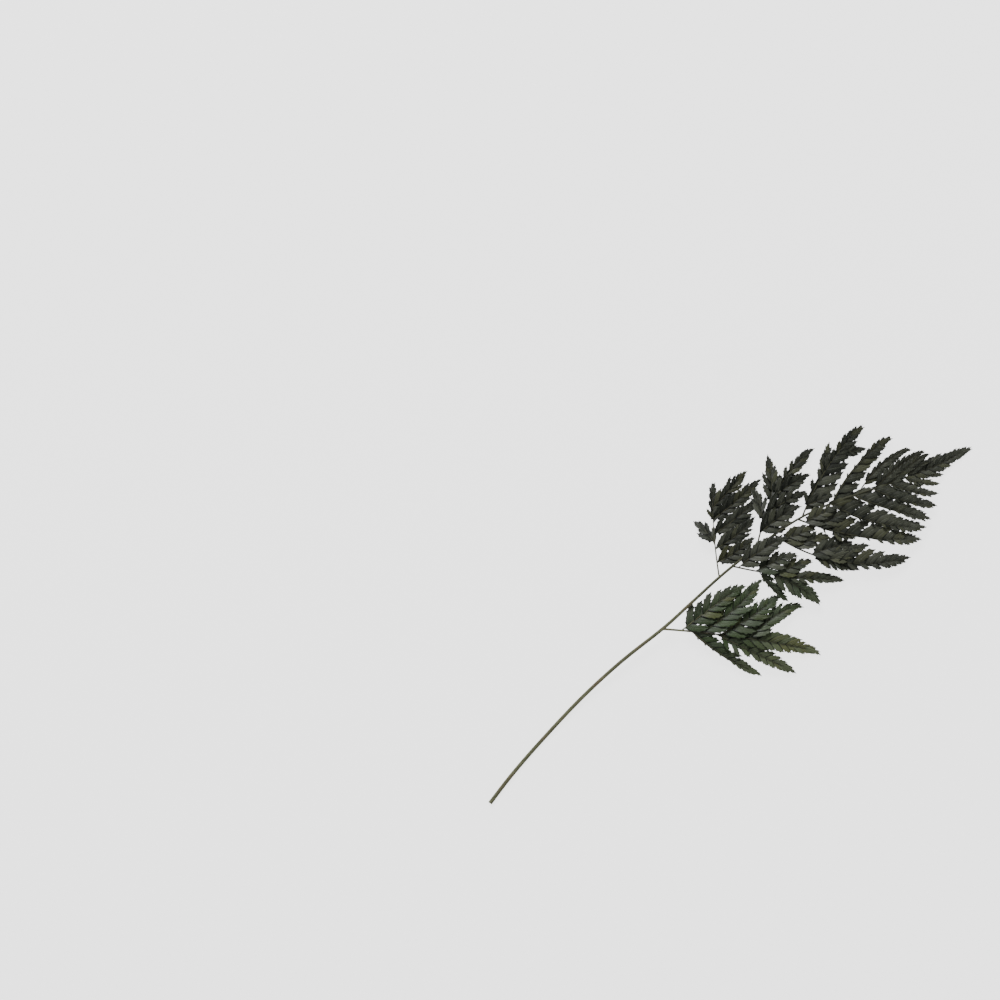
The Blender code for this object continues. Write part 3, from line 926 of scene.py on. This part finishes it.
class FROND_OT_studio(bpy.types.Operator):
    """Sets the plain pale floor, the soft light and the camera straight above"""
    bl_idname = "frond.studio"
    bl_label = "Studio"

    def execute(self, context):
        settings = context.scene.studio
        self.floor(settings)
        self.lights(settings)
        self.camera(settings)
        return {"FINISHED"}

    def floor(self, settings):
        deselect_all()
        bpy.ops.mesh.primitive_plane_add(size=8.0)
        floor = bpy.context.object
        floor.name = "floor"
        graph = Graph("floor")
        floor.data.materials.append(graph.finish(
            Base_Color=opaque(settings.floor), Roughness=0.9, Specular_IOR_Level=0.0,
            Emission_Color=(1.0, 1.0, 1.0, 1.0), Emission_Strength=settings.glow))

    def lights(self, settings):
        for name, size, place, share in (
            ("light_main", 1.4, (-2.5, 1.0, 2.1), 1.0),
            ("light_fill", 2.4, (1.9, -1.0, 2.4), 0.12),
        ):
            bpy.ops.object.light_add(type="AREA", location=place)
            light = bpy.context.object
            light.name = name
            light.data.size = size
            light.data.energy = settings.light * share
            light.rotation_euler = (-Vector(place)).to_track_quat("-Z", "Y").to_euler()
        world = bpy.context.scene.world or bpy.data.worlds.new("world")
        bpy.context.scene.world = world
        world.use_nodes = True
        background = world.node_tree.nodes["Background"]
        background.inputs["Color"].default_value = (1.0, 1.0, 1.0, 1.0)
        background.inputs["Strength"].default_value = settings.sky

    def camera(self, settings):
        right = Vector((*settings.view_right, 0.0)).normalized()
        up = Vector((-right.y, right.x, 0.0))
        centre = Vector(settings.view_centre) + TO_FRAME * MM
        bpy.ops.object.camera_add(location=(centre.x, centre.y, settings.view_height))
        camera = bpy.context.object
        camera.name = "camera"
        camera.rotation_euler = Matrix((right, up, Vector((0.0, 0.0, 1.0)))).transposed().to_euler()
        camera.data.sensor_width = 36.0
        camera.data.lens = 36.0 * settings.view_height / settings.view_width
        camera.data.clip_end = 20.0
        bpy.context.scene.camera = camera


class FROND_PT_panel(bpy.types.Panel):
    """Lists the steps and their sizes"""
    bl_idname = "FROND_PT_panel"
    bl_label = "Fern frond"
    bl_space_type = "VIEW_3D"
    bl_region_type = "UI"
    bl_category = "Frond"

    def draw(self, context):
        layout = self.layout
        for name in FrondSettings.__annotations__:
            layout.prop(context.scene.frond, name)
        for step in (FROND_OT_stalk, FROND_OT_side_branches, FROND_OT_end, FROND_OT_studio):
            layout.operator(step.bl_idname)
        for name in StudioSettings.__annotations__:
            layout.prop(context.scene.studio, name)


CLASSES = (
    FrondSettings, StudioSettings, FROND_OT_stalk, FROND_OT_side_branches, FROND_OT_end, FROND_OT_studio,
    FROND_PT_panel,
)


def register():
    for entry in CLASSES:
        bpy.utils.register_class(entry)
    bpy.types.Scene.frond = bpy.props.PointerProperty(type=FrondSettings)
    bpy.types.Scene.studio = bpy.props.PointerProperty(type=StudioSettings)


def unregister():
    del bpy.types.Scene.studio
    del bpy.types.Scene.frond
    for entry in reversed(CLASSES):
        bpy.utils.unregister_class(entry)


def main():
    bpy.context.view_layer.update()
    register()
    bpy.ops.frond.stalk()
    bpy.ops.frond.side_branches(side="RIGHT")
    bpy.ops.frond.side_branches(side="LEFT")
    bpy.ops.frond.end()
    bpy.ops.frond.studio()


if __name__ == "__main__":
    main()
